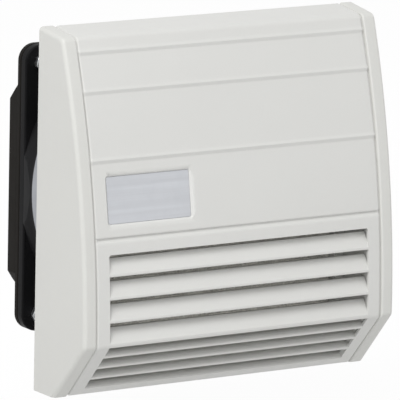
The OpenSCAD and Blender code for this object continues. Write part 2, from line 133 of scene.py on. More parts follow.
def settle(o):
    """The evaluated mesh takes the place of the object's own, and its modifiers go."""
    made = evaluated(o)
    o.modifiers.clear()
    o.data = made
    return o


def weld(mesh, outward=True):
    """Doubles are merged and faces turned outwards."""
    bm = bmesh.new()
    bm.from_mesh(mesh)
    bmesh.ops.remove_doubles(bm, verts=bm.verts, dist=2e-6)
    bmesh.ops.dissolve_degenerate(bm, edges=bm.edges, dist=1e-7)
    if outward:
        bmesh.ops.recalc_face_normals(bm, faces=bm.faces)
    bm.to_mesh(mesh)
    bm.free()


def polish(o, angle=CREASE):
    """Soft shading over rounds, crisp at edges, with flat faces kept flat."""
    o.data.shade_smooth()
    o.data.set_sharp_from_angle(angle=math.radians(angle))
    o.modifiers.new("even_faces", "WEIGHTED_NORMAL").keep_sharp = True
    return settle(o)


def solid(name, verts, faces, angle=CREASE):
    mesh = bpy.data.meshes.new(name)
    mesh.from_pydata([(x * MM, y * MM, z * MM) for x, y, z in verts], [], faces)
    weld(mesh)
    return polish(add(name, mesh), angle)


def placed(name, bm):
    """A new piece from an edited mesh."""
    mesh = bpy.data.meshes.new(name)
    bm.to_mesh(mesh)
    bm.free()
    return add(name, mesh)


def join(name, parts):
    """Several meshes as one piece; the parts go."""
    bm = bmesh.new()
    for p in parts:
        bm.from_mesh(p.data)
        bpy.data.objects.remove(p)
    return placed(name, bm)


def carve(o, *cutters):
    """Cuts the cutters out of a solid, and removes them."""
    for c in cutters:
        m = o.modifiers.new("cut", "BOOLEAN")
        m.operation = "DIFFERENCE"
        m.solver = "EXACT"
        m.object = c
    settle(o)
    for c in cutters:
        bpy.data.objects.remove(c)
    weld(o.data, outward=False)
    return o


def filled(name, loops, thick, edge, turn, seg=3):
    """A flat outline with holes, thickened and with rounded edges, turned into place."""
    cu = bpy.data.curves.new(name, "CURVE")
    cu.dimensions = "2D"
    cu.fill_mode = "BOTH"
    cu.extrude = (thick / 2 - edge) * MM
    cu.bevel_depth = edge * MM
    cu.bevel_resolution = seg
    cu.offset = -edge * MM
    for loop in loops:
        s = cu.splines.new("POLY")
        s.points.add(len(loop) - 1)
        for p, (u, v) in zip(s.points, loop):
            p.co = (u * MM, v * MM, 0, 1)
        s.use_cyclic_u = True
    curve = add(name, cu)
    mesh = evaluated(curve)
    bpy.data.objects.remove(curve)
    mesh.transform(turn)
    weld(mesh)
    return polish(add(name, mesh))


def slab(name, loops, y0, y1, edge=0.3, seg=3):
    """An outline in X and Z, thickened from y0 to y1."""
    turn = Matrix(((1, 0, 0, 0), (0, 0, -1, (y0 + y1) / 2 * MM), (0, 1, 0, 0), (0, 0, 0, 1)))
    return filled(name, loops, y1 - y0, edge, turn, seg)


def beam(name, loops, x0, x1, edge=0.3, seg=3):
    """An outline in Y and Z, thickened from x0 to x1."""
    turn = Matrix(((0, 0, 1, (x0 + x1) / 2 * MM), (1, 0, 0, 0), (0, 1, 0, 0), (0, 0, 0, 1)))
    return filled(name, loops, x1 - x0, edge, turn, seg)


def quads(rows, n, joined=False):
    """Faces between rows of n points that run round a loop; joined leads the last row back to the first."""
    faces = []
    for k in range(rows if joined else rows - 1):
        j = (k + 1) % rows
        faces += [(k * n + i, k * n + (i + 1) % n, j * n + (i + 1) % n, j * n + i) for i in range(n)]
    return faces


def turned(name, section, segments):
    """A closed section of (radius, y) turned about Y."""
    verts = []
    for k in range(segments):
        a = 2 * math.pi * k / segments
        verts += [(r * math.cos(a), y, r * math.sin(a)) for r, y in section]
    return solid(name, verts, quads(segments, len(section), True))


def ring_loop(r, count=64, u=0.0, v=0.0):
    angles = [2 * math.pi * i / count for i in range(count)]
    return [(u + r * math.cos(a), v + r * math.sin(a)) for a in angles]


def soft_box(w, h, r, u=0.0, v=0.0, steps=8):
    """A rectangle with rounded corners."""
    pts = []
    for sx, sz, a0 in ((1, 1, 0), (-1, 1, 90), (-1, -1, 180), (1, -1, 270)):
        for i in range(steps + 1):
            a = math.radians(a0 + 90 * i / steps)
            pts.append((u + sx * (w / 2 - r) + r * math.cos(a), v + sz * (h / 2 - r) + r * math.sin(a)))
    return pts


def round_corners(pts, r, steps=4):
    """A polygon whose corners get radius r, or as much as fits."""
    out = []
    for i, p in enumerate(pts):
        a, b = Vector(pts[i - 1]), Vector(pts[(i + 1) % len(pts)])
        p = Vector(p)
        da, db = (a - p), (b - p)
        half = da.angle(db) / 2
        d = min(r / math.tan(half), 0.45 * da.length, 0.45 * db.length)
        pa, pb = p + da.normalized() * d, p + db.normalized() * d
        for k in range(steps + 1):
            t = k / steps
            q = (1 - t) ** 2 * pa + 2 * t * (1 - t) * p + t * t * pb
            out.append((q.x, q.y))
    return out


# The front's profile in Y and Z, as lines of rows: each row gives its place for any inset

BEV = Vector((DEPTH - LIP, -(KNEE + HALF))).normalized()
BEV_N = Vector((BEV.y, -BEV.x))


def arc_y(z, ins):
    return BULGE - DEPTH - math.sqrt((BULGE - ins) ** 2 - (z - KNEE) ** 2)


def on_bevel(s, ins):
    p = Vector((-DEPTH, KNEE)) + float(s) * BEV - float(ins) * BEV_N
    return p.x, p.y


def lip_s(ins):
    return (-HALF + ins - KNEE + ins * BEV_N.y) / BEV.y


def round_mid(ins, r):
    mid = Vector((BULGE - DEPTH, KNEE))
    q = Vector((r * math.sin(SLOPE), HALF - ins - r * math.cos(SLOPE))) - mid
    d = Vector((-math.cos(SLOPE), -math.sin(SLOPE)))
    run = -q.dot(d) + math.sqrt(q.dot(d) ** 2 - q.dot(q) + (BULGE - ins - r) ** 2)
    return q + mid + run * d


def top_row(y):
    return lambda ins: (y, HALF - ins + y * math.tan(SLOPE))


def round_row(t):
    def place(ins):
        r = max(0.8, TOP_ROUND - max(0.0, ins - INSET))
        c = round_mid(ins, r)
        out = c - Vector((BULGE - DEPTH, KNEE))
        a = math.pi / 2 + SLOPE
        a += t * (math.atan2(out.y, out.x) - a)
        return c.x + r * math.cos(a), c.y + r * math.sin(a)
    return place


def arc_row(z):
    return lambda ins: (arc_y(z, ins), z)


def knee_row(t, low=0.0):
    """Round of the knee, from the bulge to the bevel; low is how much less the bevel is set in."""
    def place(ins):
        r = max(0.8, KNEE_ROUND - ins)
        y, z = on_bevel((ins + (ins - low) * BEV_N.x) / BEV.x, ins - low)
        turn = math.acos(-BEV.y)
        return y + r * (1 - math.cos(t * turn)), z + r * (math.tan(turn / 2) - math.sin(t * turn))
    return place


def bevel_row(s, low=0.0):
    return lambda ins: on_bevel(s, ins - low)


def lip_row(along, lift, low=0.0):
    """At the lower lip, before and after its corner."""
    def place(ins):
        i = ins - low
        s = lip_s(i + lift)
        if along > 0:
            return on_bevel(s, i)[0] + along, -HALF + i
        return on_bevel(s + along, i + lift)
    return place


def foot_row(ins):
    """Where the bevel meets the plane underneath, at any inset."""
    return on_bevel((-HALF - KNEE + ins * BEV_N.y) / BEV.y, ins)


def bottom_row(y, low=0.0):
    return lambda ins: (y, -HALF + ins - low)


def rail_rows():
    """Rows for a rail, from the rear edge over the top, down the front and back underneath."""
    rows = [top_row(-14.0 * t) for t in (0, 0.03, 0.3, 0.65, 1)]
    rows += [round_row(i / 10) for i in range(11)]
    rows += [arc_row(z) for z in np.linspace(68.0, KNEE + 2.4, 46)]
    rows += [knee_row(t / 8) for t in range(9)]
    rows += [bevel_row(s) for s in np.linspace(2.6, 31.5, 10)]
    return rows + [foot_row, lambda ins: (0.0, -HALF)]


def shell(name, outer, inner, keep=lambda i, j: True):
    """Two matching nets of points as one closed wall; keep says which cells are there."""
    nr, nc = len(outer), len(outer[0])
    verts = [p for row in outer for p in row] + [p for row in inner for p in row]
    size = nr * nc
    faces = []
    for i in range(nr - 1):
        for j in range(nc - 1):
            if not keep(i, j):
                continue
            a, b, c, d = i * nc + j, i * nc + j + 1, (i + 1) * nc + j + 1, (i + 1) * nc + j
            faces.append((a, b, c, d))
            faces.append((d + size, c + size, b + size, a + size))
            for p, q, ni, nj in ((a, b, i - 1, j), (b, c, i, j + 1), (c, d, i + 1, j), (d, a, i, j - 1)):
                if not (0 <= ni < nr - 1 and 0 <= nj < nc - 1 and keep(ni, nj)):
                    faces.append((q, p, p + size, q + size))
    return solid(name, verts, faces, 30)


# Geometry trees for what repeats or follows a rule

def sockets(g, way, **kinds):
    """Sockets of a node group, named by kind; returns their identifiers."""
    ids = {}
    for kind, labels in kinds.items():
        for label in labels.split(", "):
            ids[label] = g.interface.new_socket(label, in_out=way, socket_type="NodeSocket" + kind).identifier
    return ids


def tree(name, **kinds):
    """A geometry tree with inputs named by kind; returns it with them and their identifiers."""
    g = bpy.data.node_groups.new(name, "GeometryNodeTree")
    sockets(g, "OUTPUT", Geometry="Geometry")
    ids = sockets(g, "INPUT", **kinds, Material="Finish")
    return {"tree": g, "ids": ids, "in": g.nodes.new("NodeGroupInput").outputs}


def put(t, kind, inputs=(), out=0, **props):
    """Adds a node, sets or joins its inputs, and gives one of its outputs."""
    g = t["tree"] if isinstance(t, dict) else t
    n = g.nodes.new(kind)
    for k, v in props.items():
        setattr(n, k, v)
    for k, v in dict(inputs).items():
        if isinstance(v, bpy.types.NodeSocket):
            g.links.new(v, n.inputs[k])
        else:
            n.inputs[k].default_value = v
    return n.outputs[out]


def calc(t, op, a, b=0.0):
    return put(t, "ShaderNodeMath", {0: a, 1: b}, operation=op)


def xyz(t, x=0.0, y=0.0, z=0.0):
    return put(t, "ShaderNodeCombineXYZ", {"X": x, "Y": y, "Z": z})


def position(t):
    """X, Y and Z of each point."""
    split = t["tree"].nodes.new("ShaderNodeSeparateXYZ")
    t["tree"].links.new(put(t, "GeometryNodeInputPosition"), split.inputs[0])
    return split.outputs


def close_tree(t, geometry):
    """Every tree ends in real geometry with its finish on it."""
    real = put(t, "GeometryNodeRealizeInstances", {"Geometry": geometry})
    done = put(t, "GeometryNodeSetMaterial", {"Geometry": real, "Material": t["in"]["Finish"]})
    t["tree"].links.new(done, t["tree"].nodes.new("NodeGroupOutput").inputs["Geometry"])
    return t


def piece_of(t, label):
    return put(t, "GeometryNodeObjectInfo", {"Object": t["in"][label]}, "Geometry")


def set_on(t, points, label, **turn):
    """One piece on every point, and the tree's end."""
    ends = {"Points": points, "Instance": piece_of(t, label), **turn}
    return close_tree(t, put(t, "GeometryNodeInstanceOnPoints", ends))


def swept(t, path, section):
    """A section led along a path, and the tree's end."""
    ends = {"Curve": path, "Profile Curve": section, "Fill Caps": True}
    return close_tree(t, put(t, "GeometryNodeCurveToMesh", ends))


def grow(name, t, look, **values):
    """Runs a tree with its inputs set and returns the result as a plain mesh piece."""
    o = add(name, bpy.data.meshes.new(name))
    m = o.modifiers.new(name, "NODES")
    m.node_group = t["tree"]
    m[t["ids"]["Finish"]] = FINISHES[look]
    for label, v in values.items():
        m[t["ids"][label.replace("_", " ")]] = v
    settle(o)
    for v in values.values():
        if isinstance(v, bpy.types.Object):
            bpy.data.objects.remove(v)
    return o


def slat_tree():
    """Slats one below the other, each set back to the bulged front."""
    t = tree("slats_on_bulge", Object="Slat", Int="Count", Float="First edge, Pitch, Radius, Knee, Middle")
    i = t["in"]
    step = xyz(t, z=calc(t, "MULTIPLY", i["Pitch"], -1.0))
    start = xyz(t, z=i["First edge"])
    line = put(t, "GeometryNodeMeshLine", {"Count": i["Count"], "Start Location": start, "Offset": step})
    z = position(t)[2]
    rise = calc(t, "POWER", calc(t, "SUBTRACT", z, i["Knee"]), 2.0)
    reach = calc(t, "SQRT", calc(t, "SUBTRACT", calc(t, "POWER", i["Radius"], 2.0), rise))
    place = xyz(t, y=calc(t, "SUBTRACT", i["Middle"], reach), z=z)
    return set_on(t, put(t, "GeometryNodeSetPosition", {"Geometry": line, "Position": place}), "Slat")


def row_tree():
    """A piece repeated in a straight row."""
    t = tree("pieces_in_a_row", Object="Piece", Int="Count", Vector="Step")
    i = t["in"]
    return set_on(t, put(t, "GeometryNodeMeshLine", {"Count": i["Count"], "Offset": i["Step"]}), "Piece")


def around_tree():
    """A piece repeated round the fan's axis."""
    t = tree("pieces_round_axis", Object="Piece", Int="Count", Float="First angle, Turn")
    i = t["in"]
    line = put(t, "GeometryNodeMeshLine", {"Count": i["Count"], "Offset": (0, 0, 0)})
    turn = calc(t, "MULTIPLY", put(t, "GeometryNodeInputIndex"), i["Turn"])
    return set_on(t, line, "Piece", Rotation=xyz(t, y=calc(t, "ADD", i["First angle"], turn)))


def corner_tree():
    """A fastener at each corner of a square, each turned a little further."""
    t = tree("fasteners_at_corners", Object="Fastener", Float="Pitch")
    pitch = t["in"]["Pitch"]
    square = {"Size X": pitch, "Size Y": pitch, "Vertices X": 2, "Vertices Y": 2}
    grid = put(t, "GeometryNodeMeshGrid", square)
    x, y = position(t)[:2]
    grid = put(t, "GeometryNodeSetPosition", {"Geometry": grid, "Position": xyz(t, x, 0.0, y)})
    turn = calc(t, "MULTIPLY", put(t, "GeometryNodeInputIndex"), 0.7)
    return set_on(t, grid, "Fastener", Rotation=xyz(t, y=turn))


def grille_tree():
    """Rings of one section about the fan's axis, evenly spaced from the inner one outwards."""
    t = tree("grille_rings", Int="Count", Float="Inner, Spacing, Width, Depth, Round, Middle")
    i = t["in"]
    spots = {"Count": i["Count"], "Start Location": xyz(t, y=i["Middle"]), "Offset": (0, 0, 0)}
    line = put(t, "GeometryNodeMeshLine", spots)
    circle = put(t, "GeometryNodeCurvePrimitiveCircle", {"Resolution": 96, "Radius": 1.0})
    size = calc(t, "ADD", i["Inner"], calc(t, "MULTIPLY", put(t, "GeometryNodeInputIndex"), i["Spacing"]))
    rings = put(t, "GeometryNodeInstanceOnPoints", {
        "Points": line, "Instance": circle,
        "Scale": xyz(t, size, size, size), "Rotation": (math.pi / 2, 0, 0)})
    rings = put(t, "GeometryNodeRealizeInstances", {"Geometry": rings})
    rim = put(t, "GeometryNodeCurvePrimitiveQuadrilateral", {"Width": i["Width"], "Height": i["Depth"]})
    section = {"Curve": rim, "Radius": i["Round"], "Count": 3}
    return swept(t, rings, put(t, "GeometryNodeFilletCurve", section, mode="POLY"))


def coil_tree():
    """Wire wound round a pole in one layer: a spiral pressed to a soft rectangle."""
    t = tree("wound_coil", Float="Turns, Half height, Half width, Length, Wire")
    i = t["in"]
    spiral = put(t, "GeometryNodeCurveSpiral", {
        "Resolution": 40, "Rotations": i["Turns"], "Height": i["Length"],
        "Start Radius": 1.0, "End Radius": 1.0})
    c, s, along = position(t)
    shape = [calc(t, "POWER", calc(t, "ABSOLUTE", calc(t, "DIVIDE", a, b)), 7.0)
             for a, b in ((c, i["Half height"]), (s, i["Half width"]))]
    reach = calc(t, "POWER", calc(t, "ADD", *shape), -1 / 7)
    place = xyz(t, along, calc(t, "MULTIPLY", c, reach), calc(t, "MULTIPLY", s, reach))
    path = put(t, "GeometryNodeSetPosition", {"Geometry": spiral, "Position": place})
    return swept(t, path, put(t, "GeometryNodeCurvePrimitiveCircle", {"Resolution": 7, "Radius": i["Wire"]}))


def fibre_tree():
    """Loose fibres scattered over a mat, each with its own lie."""
    t = tree("loose_fibres", Object="Mat, Fibre", Float="Density", Int="Seed")
    i = t["in"]
    seed = {"Seed": i["Seed"]}
    field = {"Mesh": piece_of(t, "Mat"), "Density": i["Density"], **seed}
    points = put(t, "GeometryNodeDistributePointsOnFaces", field)
    turn = {0: (-0.25, 0.0, -0.25), 1: (0.25, 6.283, 0.25), **seed}
    lie = put(t, "FunctionNodeRandomValue", turn, data_type="FLOAT_VECTOR")
    size = put(t, "FunctionNodeRandomValue", {2: 0.6, 3: 1.3, **seed}, 1, data_type="FLOAT")
    return set_on(t, points, "Fibre", Rotation=lie, Scale=size)


# Finishes: shared effects as shader groups, then one material for each finish

def linear(r, g, b):
    """A colour as seen on a screen, 0 to 255, in linear values."""
    shares = [c / 255 for c in (r, g, b)]
    return tuple(c / 12.92 if c <= 0.04045 else ((c + 0.055) / 1.055) ** 2.4 for c in shares) + (1.0,)


def effect(name, **kinds):
    """A shader group with inputs named by kind; returns it with them and the place on the piece."""
    g = bpy.data.node_groups.new(name, "ShaderNodeTree")
    sockets(g, "INPUT", **kinds)
    sockets(g, "OUTPUT", Color="Colour", Float="Roughness, Height")
    return g, g.nodes.new("NodeGroupInput").outputs, put(g, "ShaderNodeTexCoord", out="Object")


def close_effect(g, **results):
    """Every effect ends in a colour, a roughness and a height."""
    ends = g.nodes.new("NodeGroupOutput").inputs
    for label, value in results.items():
        g.links.new(value, ends[label])
    return g


def noise(g, where, scale, detail=3.0, rough=0.55):
    settings = {"Vector": where, "Scale": scale, "Detail": detail, "Roughness": rough}
    return put(g, "ShaderNodeTexNoise", settings)


def spread(g, value, low, high, start=0.3, end=0.7):
    """A value from start to end as one from low to high."""
    ends = {"From Min": start, "From Max": end, "To Min": low, "To Max": high}
    return put(g, "ShaderNodeMapRange", {"Value": value, **ends})


def tinted(g, colour, value):
    return put(g, "ShaderNodeHueSaturation", {"Color": colour, "Value": value})


def moulded_skin():
    """Moulded plastic: fine eroded grain, faint flow marks and an uneven gloss."""
    g, i, at = effect("moulded_skin", Color="Tone", Float="Grain, Gloss, Mottle")
    flow = noise(g, at, 14.0, 4.0)
    cloud = noise(g, at, 210.0, 2.0)
    grain = noise(g, at, i["Grain"], 2.0, 0.7)
    low, high = calc(g, "SUBTRACT", 1.0, i["Mottle"]), calc(g, "ADD", 1.0, i["Mottle"])
    both = calc(g, "ADD", calc(g, "MULTIPLY", flow, 0.7), calc(g, "MULTIPLY", grain, 0.3))
    gloss = calc(g, "ADD", i["Gloss"], spread(g, cloud, -0.035, 0.035))
    return close_effect(g, Colour=tinted(g, i["Tone"], spread(g, both, low, high)),
                        Roughness=calc(g, "ADD", gloss, spread(g, flow, -0.04, 0.04)),
                        Height=calc(g, "ADD", grain, calc(g, "MULTIPLY", cloud, 0.25)))


def painted_casting():
    """Paint over a casting: orange peel, a few pits and matt patches."""
    g, i, at = effect("painted_casting", Color="Tone", Float="Peel, Gloss")
    peel = put(g, "ShaderNodeTexVoronoi", {"Vector": at, "Scale": i["Peel"]}, feature="SMOOTH_F1")
    patch = noise(g, at, 45.0, 4.0)
    speck = noise(g, at, 2400.0, 1.0)
    shade = calc(g, "ADD", spread(g, patch, 0.8, 1.25), spread(g, speck, -0.1, 0.14))
    return close_effect(g, Colour=tinted(g, i["Tone"], shade),
                        Roughness=calc(g, "ADD", i["Gloss"], spread(g, patch, -0.06, 0.1)),
                        Height=calc(g, "ADD", peel, calc(g, "MULTIPLY", speck, 0.2)))


def drawn_metal():
    """Metal with fine lines from rolling, turning or brushing; Stretch sets their run."""
    g, i, at = effect("drawn_metal", Color="Tone", Vector="Stretch", Float="Gloss, Tarnish")
    run = put(g, "ShaderNodeVectorMath", {0: at, 1: i["Stretch"]}, operation="MULTIPLY")
    lines = noise(g, run, 1.0, 3.0, 0.6)
    stain = noise(g, at, 120.0, 3.0)
    dark = spread(g, stain, 1.0, calc(g, "SUBTRACT", 1.0, i["Tarnish"]), 0.45, 0.75)
    shade = calc(g, "MULTIPLY", dark, spread(g, lines, 0.94, 1.06))
    dull = calc(g, "ADD", spread(g, lines, -0.07, 0.07), spread(g, stain, 0.0, 0.1))
    return close_effect(g, Colour=tinted(g, i["Tone"], shade), Height=lines,
                        Roughness=calc(g, "ADD", i["Gloss"], dull))


def open_fibre():
    """Needled or foamed stuff: tangled strands or cells, with painted shade darkening the gaps between them.
    """
    g, i, at = effect("open_fibre", Color="Tone", Float="Strand, Gap")
    sway = put(g, "ShaderNodeTexNoise", {"Vector": at, "Scale": 180.0}, "Color")
    sway = put(g, "ShaderNodeVectorMath", {0: sway, 1: (0.004, 0.004, 0.004)}, operation="MULTIPLY")
    bend = put(g, "ShaderNodeVectorMath", {0: at, 1: sway}, operation="ADD")
    cell = put(g, "ShaderNodeTexVoronoi", {"Vector": bend, "Scale": i["Strand"]}, feature="DISTANCE_TO_EDGE")
    strand = spread(g, cell, 1.0, 0.0, 0.02, 0.25)
    tuft = noise(g, at, 70.0, 4.0)
    # The gaps between strands or cells are darkened: painted shade.
    low = calc(g, "SUBTRACT", 1.0, i["Gap"])
    shade = calc(g, "MULTIPLY", spread(g, strand, low, 1.0, 0.0, 1.0), spread(g, tuft, 0.9, 1.05))
    return close_effect(g, Colour=tinted(g, i["Tone"], shade), Height=calc(g, "ADD", strand, tuft),
                        Roughness=spread(g, strand, 0.95, 0.8, 0.0, 1.0))


SKIN, PAINT, METAL, FIBRE = moulded_skin(), painted_casting(), drawn_metal(), open_fibre()
FINISHES = {}


def finish(name, group, bump, depth, metallic=0.0, shader=(), **values):
    """A material from one shared effect with its own values."""
    m = bpy.data.materials.new(name)
    m.use_nodes = True
    g = m.node_tree
    b = g.nodes["Principled BSDF"]
    n = g.nodes.new("ShaderNodeGroup")
    n.node_tree = group
    for k, v in values.items():
        n.inputs[k].default_value = v
    g.links.new(n.outputs["Colour"], b.inputs["Base Color"])
    g.links.new(n.outputs["Roughness"], b.inputs["Roughness"])
    b.inputs["Metallic"].default_value = metallic
    for k, v in dict(shader).items():
        b.inputs[k].default_value = v
    grain = {"Strength": bump, "Distance": depth * MM, "Height": n.outputs["Height"]}
    g.links.new(put(g, "ShaderNodeBump", grain, "Normal"), b.inputs["Normal"])
    FINISHES[name] = m


# Plastics: tone, gloss, grain, depth of the grain, mottle and specular level
for name, tone, gloss, grain, bump, mottle, sheen in (
        ("cover_grey", (222, 222, 219), 0.42, 1800.0, 0.18, 0.02, 0.5),
        ("frame_grey", (220, 220, 216), 0.44, 1800.0, 0.18, 0.02, 0.5),
        ("guard_black", (32, 30, 28), 0.5, 1400.0, 0.3, 0.12, 0.04),
        ("impeller_black", (30, 30, 31), 0.42, 1500.0, 0.2, 0.12, 0.2),
        ("cap_black", (32, 32, 34), 0.42, 1500.0, 0.2, 0.1, 0.2),
        ("terminal_ivory", (226, 222, 206), 0.4, 1600.0, 0.2, 0.03, 0.5),
        ("insulation", (224, 221, 208), 0.5, 1500.0, 0.2, 0.04, 0.5)):
    finish(name, SKIN, bump, 0.06, shader={"Specular IOR Level": sheen},
           Tone=linear(*tone), Gloss=gloss, Grain=grain, Mottle=mottle)

# Paints on the casting: tone, peel, gloss and specular level
for name, tone, peel, gloss, sheen in (("fan_black", (24, 24, 25), 650.0, 0.42, 0.05),
                                       # The ring's copy of the fan's black paint is made lighter: a painted
                                       # highlight on the ring.
                                       ("ring_black", (32, 32, 33), 500.0, 0.36, 0.06)):
    finish(name, PAINT, 0.22, 0.08, shader={"Specular IOR Level": sheen},
           Tone=linear(*tone), Peel=peel, Gloss=gloss)

# Metals: tone, gloss, run of the lines, tarnish and depth of the lines
for name, tone, gloss, stretch, tarnish, bump in (
        ("badge_silver", (202, 204, 208), 0.5, (10, 500, 500), 0.02, 0.03),
        ("label_silver", (166, 168, 173), 0.4, (500, 12, 500), 0.03, 0.06),
        ("zinc", (206, 208, 210), 0.3, (900, 60, 900), 0.18, 0.15),
        ("tube_brass", (196, 166, 104), 0.3, (60, 1200, 60), 0.12, 0.15),
        ("bearing_steel", (196, 198, 202), 0.2, (40, 1500, 40), 0.04, 0.15),
        ("spring_steel", (150, 152, 156), 0.32, (300, 300, 300), 0.12, 0.15),
        ("rotor_steel", (160, 162, 166), 0.34, (40, 1300, 40), 0.14, 0.15),
        ("cage_metal", (186, 188, 191), 0.4, (60, 900, 60), 0.12, 0.15),
        ("shaft_steel", (205, 207, 210), 0.16, (40, 1600, 40), 0.03, 0.15),
        ("clip_steel", (92, 94, 98), 0.35, (400, 400, 400), 0.1, 0.15),
        ("lamination", (132, 134, 138), 0.45, (15, 2000, 15), 0.2, 0.5),
        ("copper", (176, 94, 52), 0.28, (300, 300, 300), 0.15, 0.15),
        ("tin", (208, 202, 182), 0.3, (900, 30, 900), 0.1, 0.15),
        ("earth_brass", (205, 178, 112), 0.28, (300, 900, 300), 0.1, 0.15)):
    finish(name, METAL, bump, 0.05, 1.0, Tone=linear(*tone), Gloss=gloss, Stretch=stretch, Tarnish=tarnish)

# The last value of each fibre finish darkens the gaps between strands or cells: painted shade.
finish("foam", FIBRE, 0.5, 0.25, Tone=linear(46, 46, 48), Strand=1300.0, Gap=0.5)
finish("fleece", FIBRE, 0.6, 0.5, Tone=linear(240, 238, 230), Strand=700.0, Gap=0.16,
       shader={"Sheen Weight": 0.2, "Sheen Roughness": 0.6})


def paint(o, look):
    o.data.materials.clear()
    o.data.materials.append(FINISHES[look])


def dress(o, body, slot, *stands_for, look=None):
    """A finished piece gets its finish, named by look or else by slot, and its body, and the CAD nodes it
    stands for are hidden.
    """
    paint(o, look or slot)
    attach(o, body)
    if stands_for:
        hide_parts(*stands_for)
    return o


# The cover: stepped panel with its window, ribs, slats, bars and hinge

def board_rows():
    """Rows of the panel with the inset of each, and the rows between which its window lies."""
    bead = ((BEAD, 0), (1.45, -0.04), (1.05, -0.15), (0.7, -0.26), (0.45, -0.3), (0.28, -0.28),
            (0.1, -0.21), (-0.15, -0.09), (-0.4, 0.03), (-0.62, 0.14), (-0.85, 0.25),
            (-1.02, 0.32), (-1.15, 0.36), (-1.35, 0.38), (-BEAD, STEP))
    edge = ((1.0, 0), (0.6, 0.03), (0.35, 0.13), (0.2, 0.32), (0.12, 0.75), (-0.1, 0.95), (-0.5, 0.95),
            (-0.85, 0.75), (-1.1, 0.5), (-1.4, 0.29), (-1.75, 0.13), (-2.1, 0.04), (-2.6, 0))
    marks = {z + dz: INSET + lift for z in STEPS for dz, lift in bead}
    marks.update({FIELD_TOP + dz: INSET + lift for dz, lift in edge})
    marks.update({LOUVRE_TOP + dz: INSET for dz in (0.5, 0.0, -0.08, -0.3, -0.6, -1.0)})
    fixed = sorted(marks)
    ends = [(z - BEAD, low + BEAD) for z, low in zip(STEPS, (*STEPS[1:], FIELD_TOP))]
    for z in np.arange(69.2, KNEE + 2.4, -2.6):
        if min(abs(z - f) for f in fixed) > 0.9:
            marks[z] = INSET + sum(STEP * (z - low) / (top - low) for top, low in ends if low < z < top)
    down = sorted(marks, reverse=True)
    rows = [(top_row(y), BEVEL_INSET) for y in (-0.4, -0.6, -5.0, -10.0, -13.5)]
    rows += [(round_row(i / 9), BEVEL_INSET + LOW * i / 9) for i in range(10)]
    top = len(rows) + down.index(LOUVRE_TOP)
    rows += [(arc_row(z), marks[z]) for z in down]
    rows += [(knee_row(t / 6, LOW), INSET) for t in range(7)]
    rows += [(bevel_row(v, LOW), INSET) for v in (3.0, 8.0, 13.0, 18.0, 23.0)]
    end = len(rows)
    rows += [(bevel_row(v, LOW), INSET) for v in (WINDOW_END, 30.2, 31.8)]
    rows += [(lip_row(-0.5, 0, LOW), INSET), (lip_row(0, 0.12, LOW), INSET), (lip_row(0.5, 0, LOW), INSET)]
    rows += [(bottom_row(y, LOW), INSET) for y in (-13.0, -8.0, HINGE[0])]
    return rows, top, end


def pocket(place):
    """The badge's recess with its sloping sides."""
    loops = []
    for y, more in ((1.4, 0.0), (1.0, 0.0), (-1.0, 1.8)):
        box = soft_box(BADGE[0] - 0.7 + 2 * more, BADGE[1] - 0.7 + 2 * more, 0.9 + 0.6 * more)
        loops.append([(u, y, v) for u, v in box])
    n = len(loops[0])
    faces = quads(len(loops), n) + [list(reversed(range(n))), [2 * n + i for i in range(n)]]
    o = solid("pocket", [p for loop in loops for p in loop], faces)
    o.data.transform(place)
    return o


def panel():
    rows, top, end = board_rows()
    r, ledge, corner, thick = 0.9, 0.75, 1.0, WALL + 0.5
    right = [(x, 0) for x in (0.0, 20.0, 40.0, 58.5, LOUVRE_HALF, 64.0, 65.6)]
    for t in np.linspace(0, math.acos(1 - ledge / r), 7):
        right.append((COVER_HALF - r + r * math.sin(t), r * (1 - math.cos(t))))
    right += [(COVER_HALF, ledge), (RAIL_IN - 0.06, ledge)]
    cols = [(-x, e) for x, e in reversed(right[1:])] + right
    sides = [k for k, c in enumerate(cols) if abs(c[0]) == LOUVRE_HALF]
    outer, inner = [], []
    for k, (place, off) in enumerate(rows):
        d = min(corner, max(0.0, LOUVRE_TOP - place(INSET)[1])) if k >= top - 1 else corner
        ease = (corner - math.sqrt(corner ** 2 - (corner - d) ** 2)) * (0.4 if k == top - 1 else 1.0)
        far = []
        for j, (x, e) in enumerate(cols):
            sunk = off if e == 0 else min(off, INSET + STEP)
            far.append((x - math.copysign(ease, x) if j in sides else x, *place(sunk + e)))
        outer.append(far)
        thin = 1.2 if top < k < end else thick
        inner.append([(p[0], *place(INSET + (thin if j in sides else thick))) for j, p in enumerate(far)])
    o = shell("cover_panel", outer, inner, lambda i, j: not (top <= i < end and sides[0] <= j < sides[1]))
    lean = math.asin((BADGE_Z - KNEE) / BULGE)
    place = Matrix.Translation(Vector((BADGE_X, arc_y(BADGE_Z, INSET + STEP / 2), BADGE_Z)) * MM)
    place = place @ Matrix.Rotation(-lean, 4, "X")
    carve(o, pocket(place))
    return polish(o, 30), place


def cover_outline(ins):
    """The cover's profile in Y and Z as one closed line, set in by ins."""
    rows = [top_row(-3.5)] + [round_row(i / 6) for i in range(7)]
    rows += [arc_row(z) for z in np.linspace(67, KNEE + 2.6, 30)]
    rows += [knee_row(t / 4, LOW) for t in range(5)] + [lip_row(0, 0, LOW), bottom_row(-3.5, LOW)]
    return [row(ins) for row in reversed(rows)]


def side_rib():
    """Outline of the rib that stands behind the panel beside the window and carries its bars."""
    rows = [arc_row(z) for z in np.linspace(LOUVRE_TOP + 3.0, KNEE + 2.6, 12)]
    rows += [knee_row(t / 4, LOW) for t in range(5)]
    rows += [bevel_row(v, LOW) for v in (8.0, 16.0, 24.0, WINDOW_END + 1.0)]
    return [row(INSET + WALL) for row in rows] + [row(RIB_BACK) for row in reversed(rows)]


